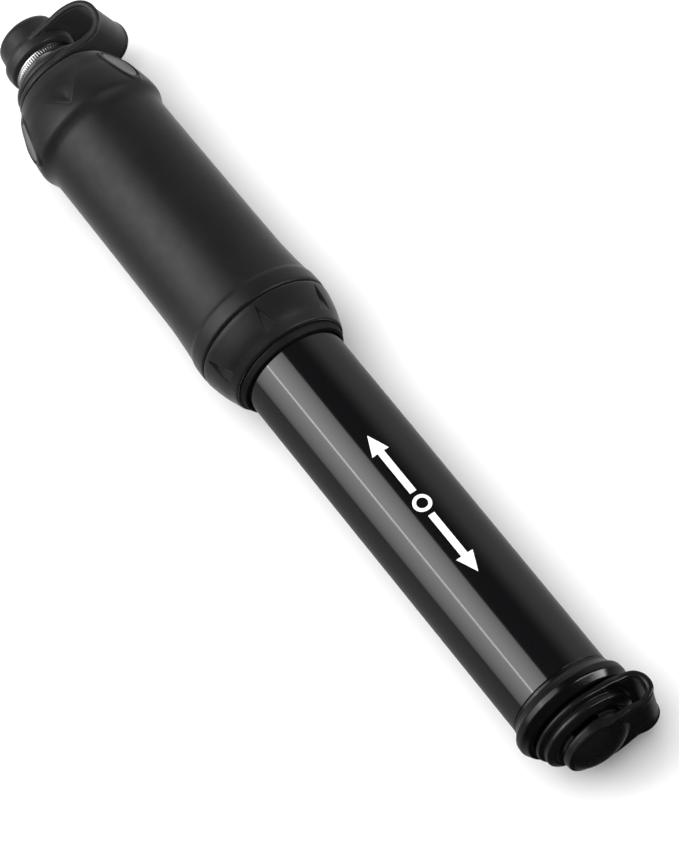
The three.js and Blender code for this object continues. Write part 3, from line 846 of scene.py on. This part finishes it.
def build_port_cap():
    dome = curve_through([(100, 0), (99.98, 2.0), (99.8, 3.4), (99.4, 4.7), (98.9, 5.7), (98.4, 6.4)], 0.3)
    disc = rounded([(98.4, 6.4), (98.1, 7.2, 0.3), (96.4, 7.35, 0.35), (95.9, 6.9), (95.9, 0)], closed=False)
    cap = dome + disc[1:]
    ring = rounded([
        (91.6, 7.75), (91.6, 10.15, 0.2), (92.1, 10.5, 0.4), (92.85, 10.4, 0.3), (93.2, 9.1, 0.2),
        (93.7, 9.7, 0.3), (94.6, 9.75, 0.4), (95.4, 8.4, 0.2), (95.4, 7.75),
    ])
    route = [(92.25, 9.0), (92.35, 10.6), (93.0, 12.2), (94.3, 13.1), (95.9, 13.3), (97.2, 12.8),
             (98.2, 11.4), (98.4, 9.6), (98.0, 7.8)]
    roots = ((10.35, math.radians(20)), (7.2, math.radians(5.5)))
    loop = build_strap("strap", route, PORT_LOOP, roots, 6.5)
    whole = [turned("cap", cap), turned("ring", ring), loop]

    def region(x, radius):
        """0 in the ring, 2 in the cap and 1 in the loop."""
        if x < 95.65 and radius < 10.7:
            return 0
        return 2 if x >= 95.65 and radius < 7.55 else 1

    names = ("port_cap_seat", "port_cap_loop", "port_cap_dome")
    seat, strap, dome = mould_together(whole, names, region)
    finish_piece(seat, "cap_rubber", "barrel", "port_cap_ring")
    finish_piece(dome, "cap_rubber", "port_cap", "port_cap")
    finish_piece(strap, "cap_rubber", None, "port_cap_strap")
    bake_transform(strap)
    plug = rounded([(96.4, 0), (96.4, 2.9), (93.9, 2.7, 0.5), (93.6, 2.0, 0.2), (93.6, 0)], closed=False)
    finish_piece(turned("port_cap_plug", plug, 96), "cap_rubber", "port_cap")


# ---------------------------------------------------------------- chuck

NUT_TEETH = 80


def knurl(x, r, angle):
    """Fine teeth round the middle of the nut, between its plain rims."""
    band = ramp(x, -90.05, -89.85) * (1 - ramp(x, -88.1, -87.9))
    if r < 6.6 or band == 0:
        return r
    return r - band * (0.06 + 0.2 * (0.5 - 0.5 * math.cos(NUT_TEETH * angle)))


def build_chuck():
    """The knurled nut, with a ring of points at every step of its toothed band."""
    outline = rounded([(-90.45, 4.85), (-90.45, 7.0, 0.12), (-87.4, 7.0, 0.12), (-87.4, 4.85)])
    top = [point for point in outline if point[1] > 6.9 and point[0] < -90]
    rest = [point for point in outline if point not in top]
    steps = 12
    teeth = [(-90.1 + 2.3 * i / steps, 7.0) for i in range(steps + 1)]
    finish_piece(turned("chuck_knurl", rest[:1] + top + teeth + rest[1:], NUT_TEETH * 8, knurl),
                 "chrome", "chuck", "chuck_nut")


SPRING_FROM_X = 82.7
SPRING_TO_X = 87.6
SPRING_COIL_R = 1.95
SPRING_WIRE_R = 0.28
SPRING_TURNS = 4


def build_valve_spring():
    """The check valve's return spring, drawn at one length; the real spring shortens towards its fixed end as
    the valve lifts.
    """
    bm = bmesh.new()
    steps, sides = SPRING_TURNS * 28, 12
    first_x, last_x = SPRING_FROM_X + SPRING_WIRE_R, SPRING_TO_X - SPRING_WIRE_R
    rings = []
    for i in range(steps + 1):
        share = i / steps
        x = first_x + (last_x - first_x) * ramp(share, -0.06, 1.06)
        turn = TURN * SPRING_TURNS * share
        rings.append([bm.verts.new(at(x + SPRING_WIRE_R * math.sin(TURN * k / sides),
                                      SPRING_COIL_R + SPRING_WIRE_R * math.cos(TURN * k / sides), turn))
                      for k in range(sides)])
    for first, second in zip(rings, rings[1:]):
        join_rings(bm, first, second)
    bm.faces.new(rings[0])
    bm.faces.new(rings[-1])
    spring = finish_piece(mesh_object("spring_coil", bm), "steel", "barrel", "valve_spring")
    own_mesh(spring)


def build_pump():
    build_grip()
    for i, middle in enumerate(INLAY_ANGLES):
        build_inlay(f"inlay_{i + 1}", middle, f"grip_inlay_{i + 1}")
    build_collar()
    build_barrel()
    build_print()
    build_port_housing()
    build_hose_cap()
    build_port_cap()
    build_chuck()
    build_valve_spring()


add_camera()
add_studio()
build_pump()
